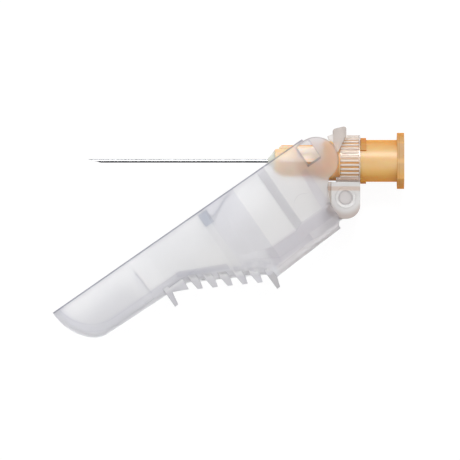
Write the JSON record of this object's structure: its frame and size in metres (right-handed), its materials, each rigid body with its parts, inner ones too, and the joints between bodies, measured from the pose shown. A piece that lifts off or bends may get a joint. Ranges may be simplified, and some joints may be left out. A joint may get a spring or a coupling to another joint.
{
  "type": "safety hypodermic needle",
  "caption": "Luer-lock hypodermic needle with an orange hub and a hinged frosted sheath that swings over the bare needle and latches beside it.",
  "frame": {"origin": "centre of the mouth of the hub's Luer socket", "axes": "+X along the hub's axis, out of the socket towards the syringe; +Y from the hinge towards the needle's axis, in the plane that the sheath swings in; +Z along the hinge pin, up as the needle lies on its side"},
  "size_m": [0.049, 0.0295, 0.0088],
  "materials": {
    "hub": "translucent orange polypropylene",
    "steel": "bright drawn stainless steel",
    "adhesive": "cured adhesive, pale green",
    "clear": "clear moulded plastic",
    "frosted": "frosted translucent polypropylene"
  },
  "bodies": {
    "needle": {"hub": "hub", "cannula": "steel", "adhesive_bead": "adhesive", "collar": "clear"},
    "sheath": {"sheath": "frosted"}
  },
  "joints": [
    {"name": "sheath_hinge", "type": "hinge", "parent": "needle", "child": "sheath", "pos_m": [-0.00817, -0.00513, 0], "axis": [0, 0, 1], "range_deg": [-34.85, 85]}
  ]
}
